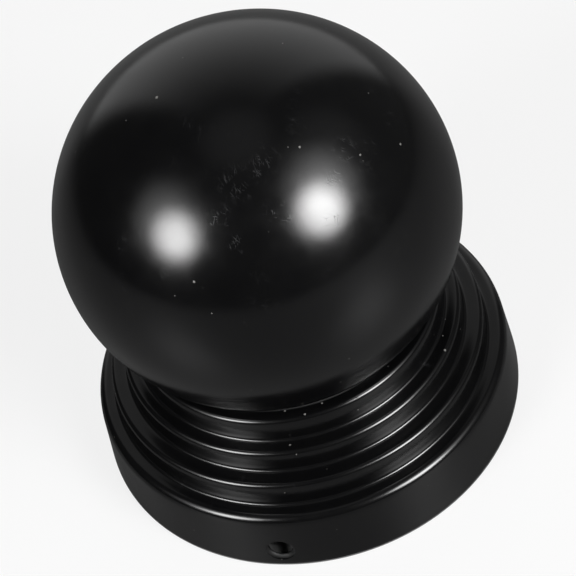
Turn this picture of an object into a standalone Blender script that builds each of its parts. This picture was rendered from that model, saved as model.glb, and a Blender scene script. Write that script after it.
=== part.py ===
"""A round ball post cap: a ball seated on a stepped, hollow cap that drops over the end of a round post."""

import math

import bpy

# Driving dimensions, in metres. The cap stands on z = 0 with its axis on Z and its front at -Y.

# The ball is a little flatter than a true sphere.
BALL_WIDTH = 0.0923
BALL_HEIGHT = 0.0877
# How far the underside of the ball hangs below the top of the cap
BALL_SINK = 0.0137
# The gap between the ball and the round seat that it rests in
SEAT_GAP = 0.0003

# The cap is one pressed sheet of steel, painted.
SHEET = 0.0010
# The narrow ledge round the ball, the two treads below it, and the last one down to the shoulder
NECK_LEDGE = 0.0035
UPPER_TREAD = 0.0038
LOWER_TREAD = 0.0044
SHOULDER_LEDGE = 0.0044
# The nearly upright faces between them, from the top down, and how much each widens to its foot
UPPER_RISER = 0.0064
MIDDLE_RISER = 0.0058
LOWER_RISER = 0.0065
RISER_DRAFT = 0.0004
# The skirt that goes round the post, which widens towards its rim
SKIRT_HEIGHT = 0.0157
SKIRT_FLARE = 0.0017

# Rounding, as radii of the outer surface
TREAD_EDGE = 0.0013
RISER_FOOT = 0.0009
SHOULDER_ROUND = 0.0023

# Two screw holes, at the front and the back of the skirt, each with a dished mouth
HOLE_DIAMETER = 0.0056
MOUTH_DIAMETER = 0.0070
HOLE_HEIGHT = 0.0053
# How far a cutter reaches past the sheet on both sides
CUTTER_REACH = 0.0040

# Facets: how many straight pieces stand for a full turn or for one arc
TURN_COUNT = 64
BALL_ARC_COUNT = 24
SHOULDER_ARC_COUNT = 4
FILLET_ARC_COUNT = 2
HOLE_SIDE_COUNT = 24
# Profile points nearer to each other than this are made one when they are turned
WELD = 0.00001

PAINT = (0.012, 0.012, 0.013, 1.0)
PAINT_ROUGHNESS = 0.3


def remove_all_objects():
    for thing in list(bpy.data.objects):
        bpy.data.objects.remove(thing, do_unlink=True)


def new_collection(name):
    group = bpy.data.collections.new(name)
    bpy.context.scene.collection.children.link(group)
    return group


def paint_material():
    """Black satin paint over steel."""
    material = bpy.data.materials.new("black_paint_on_steel")
    material.use_nodes = True
    shader = material.node_tree.nodes["Principled BSDF"]
    shader.inputs["Base Color"].default_value = PAINT
    shader.inputs["Roughness"].default_value = PAINT_ROUGHNESS
    shader.inputs["Metallic"].default_value = 0.0
    return material


def profile_object(name, points, closed):
    """A line of (radius, height) points in the XZ plane."""
    mesh = bpy.data.meshes.new(name)
    edges = [(i, i + 1) for i in range(len(points) - 1)]
    if closed:
        edges.append((len(points) - 1, 0))
    mesh.from_pydata([(x, 0.0, z) for x, z in points], edges, [])
    return bpy.data.objects.new(name, mesh)


def turn(thing, count):
    """Turns a profile once round Z, as count flat pieces that are shaded smooth."""
    screw = thing.modifiers.new("turn", "SCREW")
    screw.axis = "Z"
    screw.steps = screw.render_steps = count
    screw.use_merge_vertices = True
    screw.merge_threshold = WELD
    screw.use_smooth_shade = True


def rounded(corners):
    """A line through (x, z, radius, count) corners, each cut by an arc of count pieces.

    The first and the last corner, and any with no radius, stay as they are.
    """
    points = []
    for i, (x, z, radius, count) in enumerate(corners):
        if radius <= 0 or i in (0, len(corners) - 1):
            points.append((x, z))
            continue
        before = math.atan2(corners[i - 1][1] - z, corners[i - 1][0] - x)
        after = math.atan2(corners[i + 1][1] - z, corners[i + 1][0] - x)
        opening = (after - before + math.pi) % (2 * math.pi) - math.pi
        middle = before + opening / 2
        reach = radius / abs(math.sin(opening / 2))
        centre_x = x + reach * math.cos(middle)
        centre_z = z + reach * math.sin(middle)
        sweep = math.copysign(math.pi - abs(opening), -opening)
        start = middle + math.pi - sweep / 2
        for step in range(count + 1):
            angle = start + sweep * step / count
            points.append((centre_x + radius * math.cos(angle), centre_z + radius * math.sin(angle)))
    return points


# The sizes that follow from the driving dimensions

BALL_RADIUS = BALL_WIDTH / 2
BALL_HALF_HEIGHT = BALL_HEIGHT / 2
CAP_HEIGHT = SKIRT_HEIGHT + LOWER_RISER + MIDDLE_RISER + UPPER_RISER
BALL_CENTRE = CAP_HEIGHT - BALL_SINK + BALL_HALF_HEIGHT


def ball_radius_at(height):
    """The ball's radius at a height over the ground."""
    share = (height - BALL_CENTRE) / BALL_HALF_HEIGHT
    return BALL_RADIUS * math.sqrt(1 - share**2)


NECK_RADIUS = ball_radius_at(CAP_HEIGHT) + SEAT_GAP + NECK_LEDGE
MIDDLE_RADIUS = NECK_RADIUS + RISER_DRAFT + UPPER_TREAD
LOWER_RADIUS = MIDDLE_RADIUS + RISER_DRAFT + LOWER_TREAD
RISER_RADII = [NECK_RADIUS, MIDDLE_RADIUS, LOWER_RADIUS]
SHOULDER_RADIUS = LOWER_RADIUS + RISER_DRAFT + SHOULDER_LEDGE
RIM_RADIUS = SHOULDER_RADIUS + SKIRT_FLARE


def stepped_wall(inset):
    """The cap's wall from the seat down to the rim, moved inwards by inset."""
    heights = [CAP_HEIGHT, CAP_HEIGHT - UPPER_RISER, CAP_HEIGHT - UPPER_RISER - MIDDLE_RISER, SKIRT_HEIGHT]
    top = heights[0] - inset
    corners = [(ball_radius_at(top) + SEAT_GAP, top, 0.0, 1)]
    for radius, upper, lower in zip(RISER_RADII, heights, heights[1:]):
        foot = radius + RISER_DRAFT
        corners.append((radius - inset, upper - inset, TREAD_EDGE - inset, FILLET_ARC_COUNT))
        corners.append((foot - inset, lower - inset, RISER_FOOT + inset, FILLET_ARC_COUNT))
    shoulder = SHOULDER_ROUND - inset
    corners.append((SHOULDER_RADIUS - inset, SKIRT_HEIGHT - inset, shoulder, SHOULDER_ARC_COUNT))
    corners.append((RIM_RADIUS - inset, 0.0, 0.0, 1))
    return rounded(corners)


def make_ball(group, paint):
    """The closed ball, an ellipse turned round its upright axis."""
    half_turn = [math.pi / 2 - math.pi * i / BALL_ARC_COUNT for i in range(BALL_ARC_COUNT + 1)]
    points = [(BALL_RADIUS * math.cos(a), BALL_HALF_HEIGHT * math.sin(a)) for a in half_turn]
    points[0] = (0.0, BALL_HALF_HEIGHT)
    points[-1] = (0.0, -BALL_HALF_HEIGHT)
    ball = profile_object("ball", points, closed=False)
    ball.location.z = BALL_CENTRE
    turn(ball, TURN_COUNT)
    ball.data.materials.append(paint)
    group.objects.link(ball)


def make_cap(group, cutters, paint):
    """The hollow cap, its wall's outside and inside turned together, with the two holes cut."""
    cap = profile_object("stepped_cap", stepped_wall(0.0) + stepped_wall(SHEET)[::-1], closed=True)
    turn(cap, TURN_COUNT)
    cap.data.materials.append(paint)
    group.objects.link(cap)
    for name, side in (("front_hole", -1), ("back_hole", 1)):
        cut = cap.modifiers.new(name, "BOOLEAN")
        cut.object = hole_cutter(name, side, cutters)
        cut.solver = "EXACT"


def hole_cutter(name, side, cutters):
    """A drill with a flared mouth, across the skirt on the front (side -1) or the back (side 1)."""
    drill, mouth = HOLE_DIAMETER / 2, MOUTH_DIAMETER / 2
    wall = SHOULDER_RADIUS + SKIRT_FLARE * (1 - HOLE_HEIGHT / SKIRT_HEIGHT)
    slope = mouth - drill
    outer_end = wall + CUTTER_REACH
    inner_end = wall - SHEET - CUTTER_REACH
    profile = [
        (0.0, outer_end),
        (mouth + CUTTER_REACH, outer_end),
        (drill, wall - slope),
        (drill, inner_end),
        (0.0, inner_end),
    ]
    cutter = profile_object(name, profile, closed=False)
    turn(cutter, HOLE_SIDE_COUNT)
    cutter.rotation_euler.x = -side * math.pi / 2
    cutter.location.z = HOLE_HEIGHT
    cutter.hide_render = True
    cutter.display_type = "WIRE"
    cutters.objects.link(cutter)
    return cutter


def main():
    remove_all_objects()
    group = new_collection("ball_post_cap")
    cutters = new_collection("cutters")
    paint = paint_material()
    make_ball(group, paint)
    make_cap(group, cutters, paint)


main()
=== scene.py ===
# %% [markdown]
# # A black ball post cap
# This lesson dresses the bare solids of a ball post cap: a hollow steel ball seated on a stepped
# steel cap that drops over the end of a round post, all of it painted black. The solids come from
# the frame with their real size and place. Each one gets a finer mesh that stands for it here,
# and a paint that has the marks of a thing that was turned, painted, handled and a little dusty.

# %% Load the frame
import math

import bmesh
import bpy
from mathutils import Matrix, Vector, noise


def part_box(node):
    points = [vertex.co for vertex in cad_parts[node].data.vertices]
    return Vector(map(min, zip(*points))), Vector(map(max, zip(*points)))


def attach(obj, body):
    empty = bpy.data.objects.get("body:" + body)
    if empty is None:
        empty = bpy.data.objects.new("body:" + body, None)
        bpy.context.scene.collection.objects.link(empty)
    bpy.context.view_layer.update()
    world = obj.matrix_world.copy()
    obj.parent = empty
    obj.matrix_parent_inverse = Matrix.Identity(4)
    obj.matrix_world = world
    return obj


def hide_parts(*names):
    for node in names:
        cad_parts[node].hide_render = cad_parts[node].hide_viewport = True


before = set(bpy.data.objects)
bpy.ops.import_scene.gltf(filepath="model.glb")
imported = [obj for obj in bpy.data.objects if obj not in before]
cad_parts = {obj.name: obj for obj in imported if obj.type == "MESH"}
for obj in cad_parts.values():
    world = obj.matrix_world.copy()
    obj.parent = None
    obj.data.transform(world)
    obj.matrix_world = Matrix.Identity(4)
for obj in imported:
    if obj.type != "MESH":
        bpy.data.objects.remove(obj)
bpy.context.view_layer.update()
MM = 0.001
ball_low, ball_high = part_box("ball")
cap_low, cap_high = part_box("stepped_cap")
print("ball", [round(v / MM, 1) for v in ball_high - ball_low], "mm")
print("cap", [round(v / MM, 1) for v in cap_high - cap_low], "mm")

# %% [markdown]
# ## The ball and the cap are turned shapes
# Both pieces are round about one upright axis, so each is a line of points that is swept round it,
# the way a spinner presses sheet over a turning block. Blender's Screw modifier does this too.
# The sweep is written out here instead, because every point can then also store how far it lies in
# the crease where paint pools. The paint reads that number.

# %% Sweep a line of points round the axis
TURNS = 384
ON_AXIS = 0.001 * MM


def swept(name, line, closed, turns=TURNS):
    """A mesh from (radius, height, crease) points. A ring that lies on the axis is one point."""
    mesh = bpy.data.meshes.new(name)
    grid = bmesh.new()
    crease_layer = grid.verts.layers.float.new("crease")
    rings = []
    for radius, height, crease in line:
        count = turns if radius > ON_AXIS else 1
        ring = []
        for turn in range(count):
            angle = 2 * math.pi * turn / turns
            vert = grid.verts.new((radius * math.cos(angle), radius * math.sin(angle), height))
            vert[crease_layer] = crease
            ring.append(vert)
        rings.append(ring)
    pairs = list(zip(rings, rings[1:]))
    if closed:
        pairs.append((rings[-1], rings[0]))
    for upper, lower in pairs:
        for turn in range(turns):
            after = (turn + 1) % turns
            corners = [upper[turn % len(upper)], lower[turn % len(lower)]]
            corners += [lower[after % len(lower)], upper[after % len(upper)]]
            grid.faces.new(list(dict.fromkeys(corners)))
    bmesh.ops.recalc_face_normals(grid, faces=grid.faces)
    grid.to_mesh(mesh)
    grid.free()
    mesh.shade_smooth()
    thing = bpy.data.objects.new(name, mesh)
    bpy.context.scene.collection.objects.link(thing)
    return thing


print("one full turn is", TURNS, "steps")

# %% [markdown]
# ## The ball
# Such a ball is pressed from sheet and ground smooth. It is a little flatter than a sphere, so its
# outline is an ellipse. Pressed sheet is never perfectly true, and the eye sees that in how a lamp's
# reflection wobbles. A Displace modifier could do that. Here each point moves along its normal, in
# and out by up to two hundredths of a millimetre, in swellings about two centimetres wide.

# %% The ball's outline
BALL_RINGS = 180
ball_radius = (ball_high.x - ball_low.x) / 2
ball_half_height = (ball_high.z - ball_low.z) / 2
ball_centre = (ball_high.z + ball_low.z) / 2


def ball_radius_at(height):
    """The ball's radius at a height over the floor."""
    return ball_radius * math.sqrt(max(0.0, 1 - ((height - ball_centre) / ball_half_height) ** 2))


ball_line = []
for ring in range(BALL_RINGS + 1):
    angle = math.pi / 2 - math.pi * ring / BALL_RINGS
    height = ball_centre + ball_half_height * math.sin(angle)
    radius = ball_radius * math.cos(angle) if 0 < ring < BALL_RINGS else 0.0
    ball_line.append((radius, height, 0.0))
print("ball outline", len(ball_line), "points, centre at", round(ball_centre / MM, 2), "mm")

# %% The ball's mesh
BALL_SWELL, BALL_DEPTH = 22 * MM, 0.02 * MM


def make_uneven(thing, swell, depth):
    """Moves each point along its normal, by depth at most, in swellings that are swell across."""
    normals = [vert.normal.copy() for vert in thing.data.vertices]
    for vert, normal in zip(thing.data.vertices, normals):
        vert.co += normal * depth * noise.noise(vert.co / swell)


ball = swept("painted_ball", ball_line, closed=False)
make_uneven(ball, BALL_SWELL, BALL_DEPTH)
print("ball mesh", len(ball.data.vertices), "points")

# %% [markdown]
# ## The stepped cap
# The cap is one round of 1 mm sheet, pressed into a ledge round the ball, three risers with treads
# between them, a rounded shoulder and a skirt. Its line runs down the outside and back up the inside.
# Corners between straight runs are arcs, tight at the foot of a riser and wider at its top edge,
# which is where the lamps draw their thin bright rings. Where the ball meets the ledge, paint has
# pooled in the crease, so the line ends there in a small hollow curve that climbs up to the ball.

# %% The cap's sizes
SHEET = 1.0 * MM
UPPER_TREAD, LOWER_TREAD, SHOULDER_LEDGE = 3.8 * MM, 4.4 * MM, 4.4 * MM
UPPER_RISER, MIDDLE_RISER = 6.4 * MM, 5.8 * MM
RISER_DRAFT = 0.4 * MM
SKIRT_HEIGHT = 15.7 * MM
SKIRT_FLARE = 1.7 * MM

rim_radius = (cap_high.x - cap_low.x) / 2
cap_height = cap_high.z
shoulder_radius = rim_radius - SKIRT_FLARE
lower_radius = shoulder_radius - SHOULDER_LEDGE - RISER_DRAFT
middle_radius = lower_radius - LOWER_TREAD - RISER_DRAFT
step_radii = [middle_radius - UPPER_TREAD - RISER_DRAFT, middle_radius, lower_radius]
step_heights = [cap_height, cap_height - UPPER_RISER, cap_height - UPPER_RISER - MIDDLE_RISER]
step_heights.append(SKIRT_HEIGHT)
print("risers at radii", [round(r / MM, 1) for r in step_radii], "mm")
print("treads at heights", [round(h / MM, 1) for h in step_heights], "mm")

# %% Round the corners of a line


def arc_corners(corners):
    """Cuts each (x, z, radius, arcs, crease) corner with an arc that touches both its sides."""
    line = []
    for i, (x, z, radius, arcs, crease) in enumerate(corners):
        if radius <= 0:
            line.append((x, z, crease))
            continue
        here = Vector((x, z))
        before = (Vector(corners[i - 1][:2]) - here).normalized()
        after = (Vector(corners[(i + 1) % len(corners)][:2]) - here).normalized()
        half = before.angle(after) / 2
        centre = here + (before + after).normalized() * radius / math.sin(half)
        start = here + before * radius / math.tan(half) - centre
        sweep = math.pi - 2 * half
        turn = math.copysign(sweep, start.y * before.x - start.x * before.y)
        for step in range(arcs + 1):
            spin = Matrix.Rotation(turn * step / arcs, 2)
            point = centre + spin @ start
            line.append((point.x, point.y, crease))
    return line


def filled_in(line, longest):
    """Adds points on the straight runs, so that no face is much longer than it is wide."""
    full = []
    for here, there in zip(line, line[1:] + line[:1]):
        pieces = max(1, math.ceil(math.hypot(there[0] - here[0], there[1] - here[1]) / longest))
        for piece in range(pieces):
            share = piece / pieces
            full.append(tuple(a + (b - a) * share for a, b in zip(here, there)))
    return full


square = [(0.0, 0.0, 0.0, 1, 0.0), (1.0, 0.0, 0.2, 2, 0.0), (1.0, 1.0, 0.0, 1, 0.0)]
print("a square corner, rounded:", [(round(x, 2), round(z, 2)) for x, z, _ in arc_corners(square)])

# %% The corners of the wall
TREAD_EDGE, RISER_FOOT, SHOULDER_ROUND, RIM_ROUND = 1.3 * MM, 0.9 * MM, 2.3 * MM, 0.3 * MM
EDGE_ARCS, FOOT_ARCS, SHOULDER_ARCS, RIM_ARCS = 8, 6, 10, 4


def wall_corners(inset):
    """The cap's wall from the top riser's edge down to the shoulder, moved inwards by inset."""
    corners = []
    for radius, upper, lower in zip(step_radii, step_heights, step_heights[1:]):
        foot = radius + RISER_DRAFT
        corners.append((radius - inset, upper - inset, TREAD_EDGE - inset, EDGE_ARCS, 0.0))
        corners.append((foot - inset, lower - inset, RISER_FOOT + inset, FOOT_ARCS, 0.0))
    shoulder = SHOULDER_ROUND - inset
    corners.append((shoulder_radius - inset, SKIRT_HEIGHT - inset, shoulder, SHOULDER_ARCS, 0.0))
    return corners


outer_wall, inner_wall = wall_corners(0.0), wall_corners(SHEET)
print("corners in each wall:", len(outer_wall))

# %% The paint in the crease, and the rim
CREASE, CREASE_ROUND, CREASE_WIDTH, CREASE_ARCS = 0.3 * MM, 0.24 * MM, 0.1 * MM, 6
# The paint stops this far from the ball, which is too little to see
BRIDGE = 0.05 * MM

crease_top = cap_height + CREASE
crease_foot = ball_radius_at(cap_height) + BRIDGE + CREASE_WIDTH
seat_bottom = cap_height - SHEET
seat_top = (ball_radius_at(crease_top) + BRIDGE, crease_top, 0.0, 1, 1.0)
seat_foot = (crease_foot, cap_height, CREASE_ROUND, CREASE_ARCS, 1.0)
seat_inner = (ball_radius_at(seat_bottom) + BRIDGE, seat_bottom, 0.0, 1, 0.0)
rim_outer = (rim_radius, 0.0, RIM_ROUND, RIM_ARCS, 0.0)
rim_inner = (rim_radius - SHEET, 0.0, RIM_ROUND, RIM_ARCS, 0.0)
cap_corners = [seat_top, seat_foot] + outer_wall + [rim_outer, rim_inner]
cap_corners += inner_wall[::-1] + [seat_inner]
print("corners in the cap's line:", len(cap_corners))

# %% The cap's mesh
LONGEST_RUN = 0.8 * MM
CAP_SWELL, CAP_DEPTH = 7 * MM, 0.03 * MM
cap_line = filled_in(arc_corners(cap_corners), LONGEST_RUN)
cap = swept("painted_cap", cap_line, closed=True)
make_uneven(cap, CAP_SWELL, CAP_DEPTH)
print("cap line", len(cap_line), "points, cap", len(cap.data.vertices), "points")

# %% [markdown]
# ## The screw holes
# Two holes go through the skirt, one at the front and one at the back, for the screws that hold the
# cap on its post. Thick paint rounds a hole's outer lip, and the lamps show in it. A Bevel modifier
# after a Boolean could round it, but it would catch other edges too. A turned cutter with a flared
# end leaves the rounding just where it belongs.

# %% The shape of a hole
HOLE_RADIUS = 2.8 * MM
LIP = 0.8 * MM
HOLE_HEIGHT = 5.3 * MM
HOLE_TURNS = 64
LIP_ARCS = 8
CUT_PAST = 3 * MM


def hole_cutter(side):
    """A plug across the skirt on the front (side -1) or the back (side 1), flared to round the lip."""
    outer = shoulder_radius + SKIRT_FLARE * (1 - HOLE_HEIGHT / SKIRT_HEIGHT)
    far_end, near_end = outer + CUT_PAST, outer - SHEET - CUT_PAST
    line = [(0.0, far_end, 0.0), (HOLE_RADIUS + LIP, far_end, 0.0)]
    for step in range(LIP_ARCS + 1):
        angle = math.pi / 2 * step / LIP_ARCS
        line.append((HOLE_RADIUS + LIP * (1 - math.sin(angle)), outer - LIP * (1 - math.cos(angle)), 0.0))
    line += [(HOLE_RADIUS, near_end, 0.0), (0.0, near_end, 0.0)]
    cutter = swept("hole_cutter", line, closed=False, turns=HOLE_TURNS)
    lying = Matrix.Rotation(-side * math.pi / 2, 4, "X")
    cutter.data.transform(Matrix.Translation((0, 0, HOLE_HEIGHT)) @ lying)
    return cutter


print("hole", round(2 * HOLE_RADIUS / MM, 1), "mm wide,", round(HOLE_HEIGHT / MM, 1), "mm up")

# %% Cut the holes
SHARP_ANGLE = math.radians(50)


def cut_away(thing, cutters):
    """Cuts each cutter out of thing for good, and removes the cutters."""
    for cutter in cutters:
        cut = thing.modifiers.new("hole", "BOOLEAN")
        cut.object = cutter
        cut.solver = "EXACT"
    graph = bpy.context.evaluated_depsgraph_get()
    finished = bpy.data.meshes.new_from_object(thing.evaluated_get(graph))
    thing.modifiers.clear()
    thing.data = finished
    for cutter in cutters:
        bpy.data.objects.remove(cutter, do_unlink=True)


cut_away(cap, [hole_cutter(-1), hole_cutter(1)])
cap.data.set_sharp_from_angle(angle=SHARP_ANGLE)
print("cap after the holes", len(cap.data.vertices), "points")

# %% [markdown]
# ## Black enamel, sprayed on steel
# Black gloss enamel is a dielectric: nearly all that the eye sees is what it mirrors, so its depth
# comes from roughness and tiny slopes more than from colour. The colours are sRGB hex values as a
# paint chart gives them, and one function turns them into the linear values that shaders take.
# Another adds every node. Where it is given a whole node, it links the output that is in use.

# %% Colours and one node helper
MATH, VECTOR, EASE = "ShaderNodeMath", "ShaderNodeVectorMath", "ShaderNodeMapRange"
NOISE, MIX, MAPPING = "ShaderNodeTexNoise", "ShaderNodeMix", "ShaderNodeMapping"
SMOOTH = {"interpolation_type": "SMOOTHSTEP"}


def linear(hex_colour):
    """A linear RGBA colour from sRGB hex, such as 1A1A1B."""
    parts = [int(hex_colour[i:i + 2], 16) / 255 for i in (0, 2, 4)]
    return tuple(p / 12.92 if p <= 0.04045 else ((p + 0.055) / 1.055) ** 2.4 for p in parts) + (1.0,)


def add(tree, kind, inputs=None, **settings):
    """Adds a node with its settings, and fills its sockets with values, outputs or other nodes."""
    made = tree.nodes.new(kind)
    for name, value in settings.items():
        setattr(made, name, value)
    for socket, value in (inputs or {}).items():
        if isinstance(value, bpy.types.Node):
            value = next(output for output in value.outputs if output.enabled)
        if isinstance(value, bpy.types.NodeSocket):
            tree.links.new(value, made.inputs[socket])
        else:
            made.inputs[socket].default_value = value
    return made


print("darkest paint, linear:", [round(v, 5) for v in linear("040405")[:3]])

# %% [markdown]
# ### Places that were touched
# Wear follows hands, so scuffs and larger specks have their own places. On the ball a place is given
# by its direction, as on a globe. An image could mark them, but a few distances need no image.

# %% Places on the ball and near them
SPOT_CORE = 0.3


def on_ball(azimuth, elevation):
    """The place on the ball, in millimetres, azimuth degrees right of -Y and elevation degrees up."""
    turn, rise = math.radians(azimuth), math.radians(elevation)
    flat_radius = ball_radius * math.cos(rise)
    point = Vector((math.sin(turn) * flat_radius, -math.cos(turn) * flat_radius, 0))
    point.z = ball_centre + ball_half_height * math.sin(rise)
    return tuple(point / MM)


def near_any(tree, place, spots):
    """1 close to any (spot, reach) in millimetres, fading to 0 at its reach."""
    near = 0.0
    for spot, reach in spots:
        gap = add(tree, VECTOR, {0: place, 1: spot}, operation="DISTANCE")
        close = add(tree, EASE, {"Value": gap, 1: reach, 2: reach * SPOT_CORE}, **SMOOTH)
        near = add(tree, MATH, {0: near, 1: close}, operation="MAXIMUM")
    return near


print("the front of the ball is at", [round(v, 1) for v in on_ball(0, 0)], "mm")

# %% [markdown]
# ### Lathe rings
# A ball and a cap that were spun and sanded keep fine rings, which show through the paint low on the
# ball and on the cap. They depend only on the distance from the axis and the height, so a Noise
# texture with one dimension draws them. Real ones are too fine to show in the render, so they are
# drawn coarser, 0.8 mm apart.

# %% Rings
RING_SPACING, RING_DETAIL = 0.8, 1.0
RINGS_FADE, RINGS_FULL, RINGS_HIGH_UP = 7.0, 1.0, 0.06


def lathe_rings(tree, in_mm):
    """The rings' relief from 0 to 1, full on the cap and near its top, and faint high on the ball."""
    x_y_z = add(tree, "ShaderNodeSeparateXYZ", {0: in_mm}).outputs
    flat = add(tree, "ShaderNodeCombineXYZ", {0: x_y_z[0], 1: x_y_z[1]})
    radius = add(tree, VECTOR, {0: flat}, operation="LENGTH")
    along = add(tree, MATH, {0: radius, 1: x_y_z[2]}, operation="ADD")
    sockets = {"W": along, "Scale": 1 / RING_SPACING, "Detail": RING_DETAIL}
    rings = add(tree, NOISE, sockets, noise_dimensions="1D")
    fade_from, full_from = cap_height / MM + RINGS_FADE, cap_height / MM + RINGS_FULL
    sockets = {"Value": x_y_z[2], 1: fade_from, 2: full_from, 3: RINGS_HIGH_UP, 4: 1.0}
    low = add(tree, EASE, sockets, **SMOOTH)
    return add(tree, MATH, {0: rings, 1: low}, operation="MULTIPLY")


print("rings", RING_SPACING, "mm apart")

# %% [markdown]
# ### Hairline scratches
# Scratches are short and nearly straight, and lie in the surface. Noise that is stretched in space
# would cut the ball as dots, so the surface is unrolled first: one coordinate goes round it and the
# other up it. Four tilts of stretched noise then give hairlines that cross. They show most in the
# scuffs, a little in worn patches, and break off here and there.

# %% Scratches
# Each kind of hairline: its tilt in degrees, its width and length in mm, and how rare it is
HAIRLINES = (
    (35, 0.22, 3.0, 0.68),
    (-52, 0.20, 2.6, 0.68),
    (78, 0.24, 3.4, 0.69),
    (8, 0.20, 2.2, 0.70),
)
HAIR_EDGE = 0.05
WORN_PATCH, WORN_DETAIL, WORN_FROM, WORN_TO, WORN_MOST = 7.0, 4.0, 0.56, 0.72, 0.5
BREAK_PATCH, BREAK_DETAIL, BREAK_FROM, BREAK_TO = 1.8, 1.0, 0.42, 0.60


def unrolled(tree, in_mm):
    """The surface laid flat in millimetres: round the axis on X, and up on Y."""
    x_y_z = add(tree, "ShaderNodeSeparateXYZ", {0: in_mm}).outputs
    towards_front = add(tree, MATH, {0: x_y_z[1], 1: -1.0}, operation="MULTIPLY")
    angle = add(tree, MATH, {0: x_y_z[0], 1: towards_front}, operation="ARCTAN2")
    round_way = add(tree, MATH, {0: angle, 1: ball_radius / MM}, operation="MULTIPLY")
    return add(tree, "ShaderNodeCombineXYZ", {0: round_way, 1: x_y_z[2]})


def hairlines(tree, in_mm):
    """Hairlines over the whole surface, 1 in a line and 0 beside it."""
    flat = unrolled(tree, in_mm)
    hairs = 0.0
    for tilt, wide, long, rare in HAIRLINES:
        tilted = add(tree, MAPPING, {"Vector": flat, "Rotation": (0.0, 0.0, math.radians(tilt))})
        stretched = add(tree, MAPPING, {"Vector": tilted, "Scale": (1 / long, 1 / wide, 1.0)})
        streaks = add(tree, NOISE, {"Vector": stretched, "Scale": 1.0, "Detail": 0.0})
        hair = add(tree, EASE, {"Value": streaks, 1: rare, 2: rare + HAIR_EDGE}, **SMOOTH)
        hairs = add(tree, MATH, {0: hairs, 1: hair}, operation="MAXIMUM")
    return hairs


def scratches(tree, in_mm, scuffs):
    """How scratched the paint is, from 0 to 1."""
    patches = add(tree, NOISE, {"Vector": in_mm, "Scale": 1 / WORN_PATCH, "Detail": WORN_DETAIL})
    worn = add(tree, EASE, {"Value": patches, 1: WORN_FROM, 2: WORN_TO, 4: WORN_MOST}, **SMOOTH)
    touched = add(tree, MATH, {0: near_any(tree, in_mm, scuffs), 1: worn}, operation="MAXIMUM")
    gaps = add(tree, NOISE, {"Vector": in_mm, "Scale": 1 / BREAK_PATCH, "Detail": BREAK_DETAIL})
    broken = add(tree, EASE, {"Value": gaps, 1: BREAK_FROM, 2: BREAK_TO}, **SMOOTH)
    lines = add(tree, MATH, {0: hairlines(tree, in_mm), 1: touched}, operation="MULTIPLY")
    return add(tree, MATH, {0: lines, 1: broken}, operation="MULTIPLY")


print("kinds of hairline:", len(HAIRLINES))

# %% [markdown]
# ### Dust
# A few grains fall into wet paint and stay there as pale specks. A Voronoi texture has one point in
# each of its cells, and the cell's random colour decides whether that point is a grain.

# %% Dust
# Grains are measured in cells: 0.02 to 0.06 of a cell of 3.5 mm makes them about 0.3 mm wide
DUST_CELL, GRAIN_EDGE, GRAIN_CORE = 3.5, 0.06, 0.02
CHANCE_FROM, CHANCE_TO = 0.62, 0.95


def dust_specks(tree, in_mm, specks):
    """1 on a grain of dust: the scattered ones, and those that have their own place."""
    cells = add(tree, "ShaderNodeTexVoronoi", {"Vector": in_mm, "Scale": 1 / DUST_CELL})
    chance = add(tree, "ShaderNodeSeparateColor", {0: cells.outputs["Color"]})
    chosen = add(tree, EASE, {"Value": chance, 1: CHANCE_FROM, 2: CHANCE_TO}, **SMOOTH)
    grain = add(tree, EASE, {"Value": cells, 1: GRAIN_EDGE, 2: GRAIN_CORE}, **SMOOTH)
    scattered = add(tree, MATH, {0: grain, 1: chosen}, operation="MULTIPLY")
    return add(tree, MATH, {0: scattered, 1: near_any(tree, in_mm, specks)}, operation="MAXIMUM")


print("dust cells", DUST_CELL, "mm wide")

# %% [markdown]
# ### The whole paint
# Three sockets of one shader carry it. Colour is nearly black, a touch paler where it is worn and
# pale on dust. Roughness goes from a fresh gloss to a duller one, and is far higher on dust and in
# the crease, where thick paint dries matt. The bump adds the layers' heights: orange peel from the
# spray gun, then the rings, the hairlines and the grains, in metres as the Bump node takes them.

# %% Spray enamel
# Sprayed gloss enamel: deep black, with the lamps mirrored a little blurred
ENAMEL, ENAMEL_WORN, SCRATCH, DUST = "040405", "080808", "1E1E1F", "6A6966"
ENAMEL_IOR = 1.48
TONE_PATCH, TONE_DETAIL = 25.0, 3.0
GLOSSY, DULLER = 0.16, 0.20
GLOSS_PATCH, GLOSS_DETAIL, GLOSS_FROM, GLOSS_TO = 6.0, 4.0, 0.3, 0.7
CREASE_FROM, CREASE_MATT, SCRATCH_MATT, DUST_MATT = 0.85, 0.45, 0.15, 0.50
PEEL_SIZE, PEEL_DETAIL = 1.6, 2.0
PEEL_DEPTH, SCRATCH_DEPTH, GRAIN_HEIGHT = 3.5e-6, -2.0e-6, 30e-6


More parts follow.
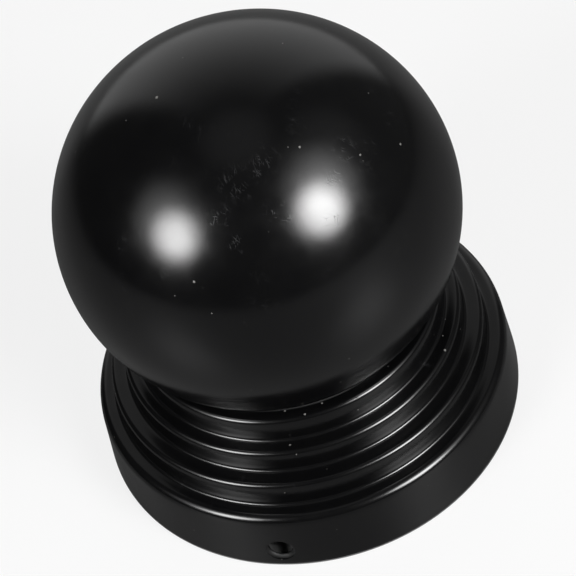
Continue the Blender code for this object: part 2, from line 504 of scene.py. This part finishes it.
def enamel(name, scuffs, specks, ring_depth):
    """Black spray enamel, with (place, reach) lists in millimetres for its scuffs and its specks."""
    material = bpy.data.materials.new(name)
    material.use_nodes = True
    tree = material.node_tree
    shader = tree.nodes["Principled BSDF"]
    shader.inputs["IOR"].default_value = ENAMEL_IOR
    place = add(tree, "ShaderNodeTexCoord").outputs["Object"]
    in_mm = add(tree, VECTOR, {0: place, "Scale": 1 / MM}, operation="SCALE")
    scratch = scratches(tree, in_mm, scuffs)
    dust = dust_specks(tree, in_mm, specks)

    patches = add(tree, NOISE, {"Vector": in_mm, "Scale": 1 / TONE_PATCH, "Detail": TONE_DETAIL})
    tone = linear(ENAMEL)
    for layer, colour in ((patches, ENAMEL_WORN), (scratch, SCRATCH), (dust, DUST)):
        tone = add(tree, MIX, {0: layer, 6: tone, 7: linear(colour)}, data_type="RGBA")

    patches = add(tree, NOISE, {"Vector": in_mm, "Scale": 1 / GLOSS_PATCH, "Detail": GLOSS_DETAIL})
    sockets = {"Value": patches, 1: GLOSS_FROM, 2: GLOSS_TO, 3: GLOSSY, 4: DULLER}
    rough = add(tree, EASE, sockets, **SMOOTH)
    stored = add(tree, "ShaderNodeAttribute", attribute_name="crease").outputs["Fac"]
    crease = add(tree, EASE, {"Value": stored, 1: CREASE_FROM, 2: 1.0}, **SMOOTH)
    for layer, amount in ((crease, CREASE_MATT), (scratch, SCRATCH_MATT), (dust, DUST_MATT)):
        rough = add(tree, MATH, {0: layer, 1: amount, 2: rough}, operation="MULTIPLY_ADD")

    peel = add(tree, NOISE, {"Vector": in_mm, "Scale": 1 / PEEL_SIZE, "Detail": PEEL_DETAIL})
    relief = add(tree, MATH, {0: peel, 1: PEEL_DEPTH}, operation="MULTIPLY")
    rings = lathe_rings(tree, in_mm)
    for layer, depth in ((rings, ring_depth), (scratch, SCRATCH_DEPTH), (dust, GRAIN_HEIGHT)):
        relief = add(tree, MATH, {0: layer, 1: depth, 2: relief}, operation="MULTIPLY_ADD")
    bump = add(tree, "ShaderNodeBump", {"Height": relief, "Distance": 1.0})

    for socket, source in (("Base Color", tone), ("Roughness", rough), ("Normal", bump)):
        used = next(output for output in source.outputs if output.enabled)
        tree.links.new(used, shader.inputs[socket])
    print(name, "has", len(tree.nodes), "nodes")
    return material


# %% [markdown]
# ### Paint on each piece
# The ball has been held, so it has scuffs, and the cap has none. The cap's rings are deeper, since
# sheet that is pressed into steps isn't ground as smooth as a ball.

# %% Paint the ball and the cap
# Where hands have touched the ball: azimuth, elevation, and reach in millimetres
TOUCHED = (
    (15, 53, 5), (26, 55, 4), (6, 45, 4), (10, 38, 3),
    (27, 43, 4), (60, 47, 4), (49, 44, 3), (41, 35, 3),
)
# Larger specks: on the ball as above, and on the cap as places in millimetres
BALL_SPECKS = ((46, 55, 0.3), (78, 35, 0.35), (63, 43, 0.3), (-4, 29, 0.35), (-56, 73, 0.45))
CAP_SPECKS = (
    ((4.7, -34.1, 34.4), 0.3),
    ((9.4, -35.1, 34.4), 0.35),
    ((13.0, -32.1, 34.4), 0.3),
    ((5.2, -38.9, 28.0), 0.3),
    ((38.8, -12.5, 28.0), 0.4),
    ((3.3, -46.5, 19.9), 0.3),
)
BALL_RING_DEPTH, CAP_RING_DEPTH = 1.2e-6, 2.8e-6

scuffed = [(on_ball(azimuth, elevation), reach) for azimuth, elevation, reach in TOUCHED]
ball_specks = [(on_ball(azimuth, elevation), reach) for azimuth, elevation, reach in BALL_SPECKS]
ball_enamel = enamel("black_spray_enamel_on_ball", scuffed, ball_specks, BALL_RING_DEPTH)
cap_enamel = enamel("black_spray_enamel_on_cap", [], CAP_SPECKS, CAP_RING_DEPTH)
for thing, material, slot, node in (
    (ball, ball_enamel, "ball_paint", "ball"),
    (cap, cap_enamel, "cap_paint", "stepped_cap"),
):
    thing.data.materials.clear()
    thing.data.materials.append(material)
    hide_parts(node)
    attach(thing, "root")

# %% [markdown]
# ## The camera
# The photograph was taken from above, a little to one side of the front hole, with the camera
# tilted so that the cap leans to the left in the picture. Elevation, side and lean were measured
# from the ellipses that the rim and the shoulder draw, and a long lens keeps them nearly alike.

# %% The camera's three directions
AZIMUTH, ELEVATION, LEAN = math.radians(19.4), math.radians(46.71), math.radians(16.54)

outward = Vector((math.sin(AZIMUTH), -math.cos(AZIMUTH), 0.0))
level = Vector((math.cos(AZIMUTH), math.sin(AZIMUTH), 0.0))
upright = Vector((0.0, 0.0, 1.0))
forward = -(outward * math.cos(ELEVATION) + upright * math.sin(ELEVATION))
level_up = upright * math.cos(ELEVATION) - outward * math.sin(ELEVATION)
right = level * math.cos(LEAN) - level_up * math.sin(LEAN)
up = level * math.sin(LEAN) + level_up * math.cos(LEAN)
print("the camera looks along", [round(v, 3) for v in forward])

# %% Place the camera
# Where the middle of the rim lies from the camera: to its right, up, and away
BASE_RIGHT, BASE_UP, DISTANCE = 5.65 * MM, -24.78 * MM, 408.2 * MM
LENS, SENSOR_WIDTH = 100.0, 36.0
NEAREST = 10 * MM

camera = bpy.data.objects.new("camera", bpy.data.cameras.new("camera"))
bpy.context.scene.collection.objects.link(camera)
camera.data.lens = LENS
camera.data.sensor_width = SENSOR_WIDTH
camera.data.clip_start = NEAREST
turned = Matrix((right, up, -forward)).transposed()
seat = -(right * BASE_RIGHT + up * BASE_UP + forward * DISTANCE)
camera.matrix_world = Matrix.Translation(seat) @ turned.to_4x4()
bpy.context.scene.camera = camera
print("the camera stands at", [round(v / MM) for v in seat], "mm")

# %% [markdown]
# ## Floor and light
# A black glossy ball is lit by what stands round it. Two soft lamps at one height, left and right
# of the camera, make its two round highlights and the bright rings on the steps. A pale backdrop
# behind it draws the broad grey sheen on its top. The rest of the room stays dim, which keeps
# the paint black. The floor is pale to the camera, and reflects less than it shows: a floor as
# bright as it looks would turn the skirt grey. Inside the rim it doesn't glow at all, so that the
# screw hole looks dark.

# %% The floor
# Satin paper: pale and even, with a faint and blurred reflection
FLOOR, FLOOR_ROUGHNESS, FLOOR_SPECULAR = "646464", 0.38, 0.25
FLOOR_SEEN = 0.78
FLOOR_SIDES, FLOOR_RADIUS, FLOOR_GAP = 128, 3.0, 0.2 * MM

under = (0, 0, -FLOOR_GAP)
bpy.ops.mesh.primitive_circle_add(
    vertices=FLOOR_SIDES, radius=FLOOR_RADIUS, fill_type="NGON", location=under
)
floor = bpy.context.object
floor.name = "floor"
floor_paper = bpy.data.materials.new("satin_paper")
floor_paper.use_nodes = True
paper = floor_paper.node_tree
paper_shader = paper.nodes["Principled BSDF"]
paper_shader.inputs["Base Color"].default_value = linear(FLOOR)
paper_shader.inputs["Roughness"].default_value = FLOOR_ROUGHNESS
paper_shader.inputs["Specular IOR Level"].default_value = FLOOR_SPECULAR
paper_shader.inputs["Emission Color"].default_value = (1.0, 1.0, 1.0, 1.0)
seen = add(paper, "ShaderNodeLightPath").outputs["Is Camera Ray"]
spot = add(paper, "ShaderNodeTexCoord").outputs["Object"]
reach = add(paper, VECTOR, {0: spot}, operation="LENGTH")
outside_cap = add(paper, MATH, {0: reach, 1: rim_radius}, operation="GREATER_THAN")
shown = add(paper, MATH, {0: seen, 1: FLOOR_SEEN}, operation="MULTIPLY")
glow = add(paper, MATH, {0: shown, 1: outside_cap}, operation="MULTIPLY")
paper.links.new(glow.outputs[0], paper_shader.inputs["Emission Strength"])
floor.data.materials.append(floor_paper)
print("floor", FLOOR_RADIUS, "m in radius")

# %% Directions in the room
world = bpy.data.worlds.new("studio")
bpy.context.scene.world = world
world.use_nodes = True
sky = world.node_tree
sky.nodes.clear()
toward = add(sky, "ShaderNodeTexCoord").outputs["Generated"]


def facing(direction):
    """How much the room's direction agrees with this one, as a cosine."""
    return add(sky, VECTOR, {0: toward, 1: tuple(direction)}, operation="DOT_PRODUCT")


def bearing(from_camera, elevation):
    """The direction from_camera degrees to the right of the camera and elevation degrees up."""
    turn, rise = AZIMUTH + math.radians(from_camera), math.radians(elevation)
    return Vector((math.sin(turn) * math.cos(rise), -math.cos(turn) * math.cos(rise), math.sin(rise)))


print("straight behind the cap is", [round(v, 2) for v in bearing(180, 0)])

# %% The backdrop and the dim room
DIM, LEFT_TO_RIGHT = 0.052, 0.030
BACKDROP = 0.68
BACKDROP_MIDDLE, BACKDROP_HALF = math.radians(6), math.radians(40)
SOFT_EDGE = math.radians(6)
BACKDROP_TOP, BACKDROP_FULL = math.radians(75), math.radians(18)
# Faint pale areas in the room: degrees right of the camera, elevation, half width and strength
PALE_AREAS = ((0, 90, 22, 0.16), (84, 44, 24, 0.14))

off_back = add(sky, MATH, {0: facing(level), 1: facing(-outward)}, operation="ARCTAN2")
off_middle = add(sky, MATH, {0: off_back, 1: BACKDROP_MIDDLE}, operation="SUBTRACT")
off_middle = add(sky, MATH, {0: off_middle}, operation="ABSOLUTE")
sockets = {"Value": off_middle, 1: BACKDROP_HALF + SOFT_EDGE, 2: BACKDROP_HALF - SOFT_EDGE}
across = add(sky, EASE, sockets, **SMOOTH)
rise = add(sky, MATH, {0: facing(upright)}, operation="ARCSINE")
sockets = {"Value": rise, 1: BACKDROP_TOP, 2: BACKDROP_FULL, 4: BACKDROP - DIM}
upwards = add(sky, EASE, sockets, **SMOOTH)
room_light = add(sky, MATH, {0: facing(level), 1: LEFT_TO_RIGHT, 2: DIM}, operation="MULTIPLY_ADD")
light = add(sky, MATH, {0: across, 1: upwards, 2: room_light}, operation="MULTIPLY_ADD")
for from_camera, elevation, half_width, strength in PALE_AREAS:
    agreement = facing(bearing(from_camera, elevation))
    rim_cosine = math.cos(math.radians(half_width))
    area = add(sky, EASE, {"Value": agreement, 1: rim_cosine, 2: 1.0, 4: strength}, **SMOOTH)
    light = add(sky, MATH, {0: light, 1: area}, operation="ADD")
seen = add(sky, "ShaderNodeLightPath").outputs["Is Camera Ray"]
strength = add(sky, MIX, {0: seen, 2: light, 3: 1.0}, data_type="FLOAT")
room = add(sky, "ShaderNodeBackground", {"Color": (1.0, 1.0, 1.0, 1.0), "Strength": strength})
add(sky, "ShaderNodeOutputWorld", {"Surface": room})
print("the room has", len(sky.nodes), "nodes")

# %% [markdown]
# ## The lamps
# Each lamp is a disc that is brightest in the middle and fades to its edge, as a soft box does. A
# wide faint disc beside each one stands for the light that spills past it, and gives the highlight
# its halo. The energy follows from the brightness that the disc should show, and from its area.

# %% Two lamps and their spill
LAMP_DISTANCE = 1.0
DISC_MIDDLE, DISC_EDGE = (0.5, 0.5, 0.0), 0.5
# Each lamp: degrees right of the camera, elevation, size in metres, brightness, and its even core
LAMPS = {
    "left_lamp": (-55.9, 32.2, 0.60, 20.0, 0.24),
    "left_spill": (-66.0, 37.0, 0.90, 2.3, 0.0),
    "right_lamp": (39.0, 32.2, 0.66, 26.0, 0.24),
    "right_spill": (51.0, 40.0, 0.90, 3.5, 0.0),
}


def lamp(name, from_camera, elevation, size, brightness, core):
    """A soft round lamp that is even in its core, a share of its size, and fades from there out."""
    data = bpy.data.lights.new(name, "AREA")
    data.shape = "DISK"
    data.size = size
    data.energy = brightness * math.pi * (math.pi * size ** 2 / 4)
    data.use_nodes = True
    tree = data.node_tree
    across = add(tree, "ShaderNodeNewGeometry").outputs["Parametric"]
    from_middle = add(tree, VECTOR, {0: across, 1: DISC_MIDDLE}, operation="DISTANCE")
    falloff = add(tree, EASE, {"Value": from_middle, 1: DISC_EDGE, 2: core * DISC_EDGE}, **SMOOTH)
    tree.links.new(falloff.outputs[0], tree.nodes["Emission"].inputs["Strength"])
    thing = bpy.data.objects.new(name, data)
    bpy.context.scene.collection.objects.link(thing)
    away = bearing(from_camera, elevation)
    thing.location = Vector((0, 0, ball_centre)) + away * LAMP_DISTANCE
    thing.rotation_euler = away.to_track_quat("Z", "Y").to_euler()
    thing.visible_camera = False
    print(name, round(data.energy, 1), "W")


for name, values in LAMPS.items():
    lamp(name, *values)

# %% [markdown]
# ## Closing
# The Standard view transform keeps black paint black, where a filmic one would lift it.

scene = bpy.context.scene
scene.view_settings.view_transform = "Standard"
scene.view_settings.look = "None"
